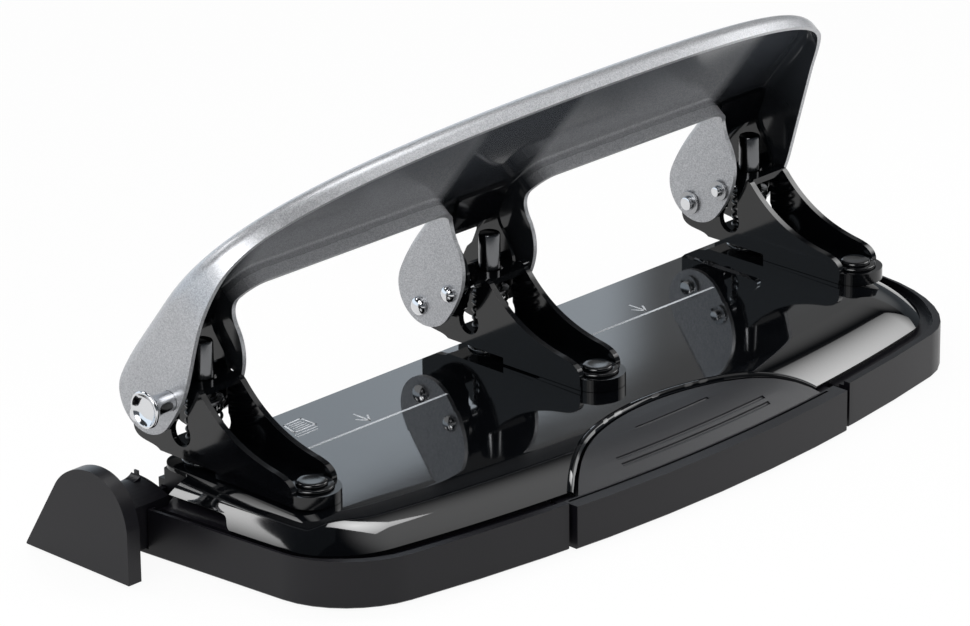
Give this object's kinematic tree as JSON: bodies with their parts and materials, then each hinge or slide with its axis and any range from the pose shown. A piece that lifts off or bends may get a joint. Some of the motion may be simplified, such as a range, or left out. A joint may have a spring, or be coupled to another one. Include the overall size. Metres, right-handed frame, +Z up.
{
  "type": "desk hole punch",
  "caption": "Desk paper punch with a long arched steel handle over punch heads on a plated base, a pull-out chip tray and a sliding paper guide.",
  "frame": {"origin": "on the resting plane, below the middle punch", "axes": "+Z up, +X along the row of punches to the right seen from the tray side, -Y towards the chip tray"},
  "size_m": [0.2784, 0.1117, 0.1016],
  "materials": {
    "moulded_plastic": "satin dark grey moulded plastic",
    "tray_plastic": "finely grained dark grey moulded plastic",
    "guide_plastic": "satin dark grey moulded plastic",
    "plate_enamel": "black gloss enamel on pressed steel",
    "head_enamel": "black gloss enamel",
    "sparkle_paint": "silver metallic paint with fine sparkle",
    "chromed_steel": "polished",
    "plated_steel": "bright zinc plated",
    "spring_steel": "drawn wire",
    "tool_steel": "ground",
    "foot_rubber": "matte"
  },
  "bodies": {
    "base": {"base_housing": "moulded_plastic", "cover_plate": "plate_enamel", "foot_strip_front": "foot_rubber", "foot_pad_left": "foot_rubber", "foot_pad_right": "foot_rubber", "base_screw_1": "plated_steel", "base_screw_2": "plated_steel", "base_screw_3": "plated_steel", "base_screw_4": "plated_steel", "die_left": "tool_steel", "head_bracket_left": "head_enamel", "foot_washer_left": "head_enamel", "foot_rivet_left": "head_enamel", "return_spring_left": "spring_steel", "die_middle": "tool_steel", "head_bracket_middle": "head_enamel", "foot_washer_middle": "head_enamel", "foot_rivet_middle": "head_enamel", "return_spring_middle": "spring_steel", "die_right": "tool_steel", "head_bracket_right": "head_enamel", "foot_washer_right": "head_enamel", "foot_rivet_right": "head_enamel", "return_spring_right": "spring_steel"},
    "handle": {"handle_shell": "sparkle_paint", "lever_bracket_left": "head_enamel", "lever_bracket_middle": "head_enamel", "lever_bracket_right": "head_enamel", "pivot_pin_left": "chromed_steel", "pivot_pin_middle": "chromed_steel", "pivot_pin_right": "chromed_steel", "drive_pin_middle": "chromed_steel", "drive_pin_right": "chromed_steel", "pivot_clip_right": "spring_steel", "drive_clip_right": "spring_steel"},
    "lock": {"lock_pin": "chromed_steel"},
    "tray": {"chip_tray": "tray_plastic"},
    "guide": {"paper_guide": "guide_plastic"},
    "punch_left": {"punch_left": "chromed_steel", "punch_clip_left": "plated_steel"},
    "punch_middle": {"punch_middle": "chromed_steel", "punch_clip_middle": "plated_steel"},
    "punch_right": {"punch_right": "chromed_steel", "punch_clip_right": "plated_steel"}
  },
  "joints": [
    {"name": "handle_press", "type": "hinge", "parent": "base", "child": "handle", "pos_m": [0, 0.01224, 0.0322], "axis": [1, 0, 0], "range_deg": [0, 45], "stiffness_Nm_per_rad": 1.2, "springref_deg": -25.78},
    {"name": "lock_push", "type": "slide", "parent": "handle", "child": "lock", "axis": [1, 0, 0], "range_m": [0, 0.0026]},
    {"name": "tray_pull", "type": "slide", "parent": "base", "child": "tray", "axis": [0, -1, 0], "range_m": [0, 0.078]},
    {"name": "guide_slide", "type": "slide", "parent": "base", "child": "guide", "axis": [-1, 0, 0], "range_m": [-0.008, 0.02]},
    {"name": "punch_left_stroke", "type": "slide", "parent": "base", "child": "punch_left", "axis": [0, 0, -1], "range_m": [0, 0.01015], "deforming": ["return_spring_left"]},
    {"name": "punch_middle_stroke", "type": "slide", "parent": "base", "child": "punch_middle", "axis": [0, 0, -1], "range_m": [0, 0.01015], "deforming": ["return_spring_middle"]},
    {"name": "punch_right_stroke", "type": "slide", "parent": "base", "child": "punch_right", "axis": [0, 0, -1], "range_m": [0, 0.01015], "deforming": ["return_spring_right"]}
  ],
  "couplings": [
    {"joint": "punch_left_stroke", "follows": "handle_press", "m_per_rad": 0.012665},
    {"joint": "punch_middle_stroke", "follows": "handle_press", "m_per_rad": 0.012665},
    {"joint": "punch_right_stroke", "follows": "handle_press", "m_per_rad": 0.012665}
  ]
}
